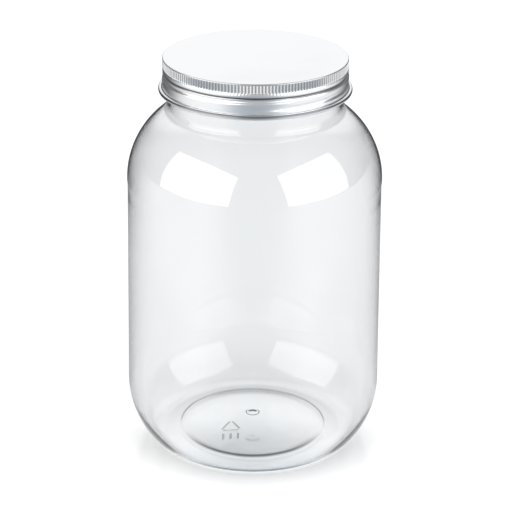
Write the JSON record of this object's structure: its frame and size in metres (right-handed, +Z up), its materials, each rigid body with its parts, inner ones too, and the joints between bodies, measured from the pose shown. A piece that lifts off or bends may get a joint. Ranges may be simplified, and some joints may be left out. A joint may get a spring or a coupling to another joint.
{
  "type": "plastic screw-top jar",
  "caption": "Large clear plastic food jar with rounded shoulders, a domed base and a wide threaded neck, closed by a knurled aluminium screw lid.",
  "frame": {"origin": "middle of the ring on which the jar stands, on the floor", "axes": "+Z up along the axis of the jar; the front is -Y, where the lid's rolled thread runs out"},
  "size_m": [0.156, 0.156, 0.2455],
  "materials": {
    "clear_plastic": "clear, glossy blown plastic",
    "aluminium": "bright rolled sheet, clear lacquer"
  },
  "bodies": {
    "root": {"jar": "clear_plastic", "lid": "aluminium"}
  },
  "joints": []
}
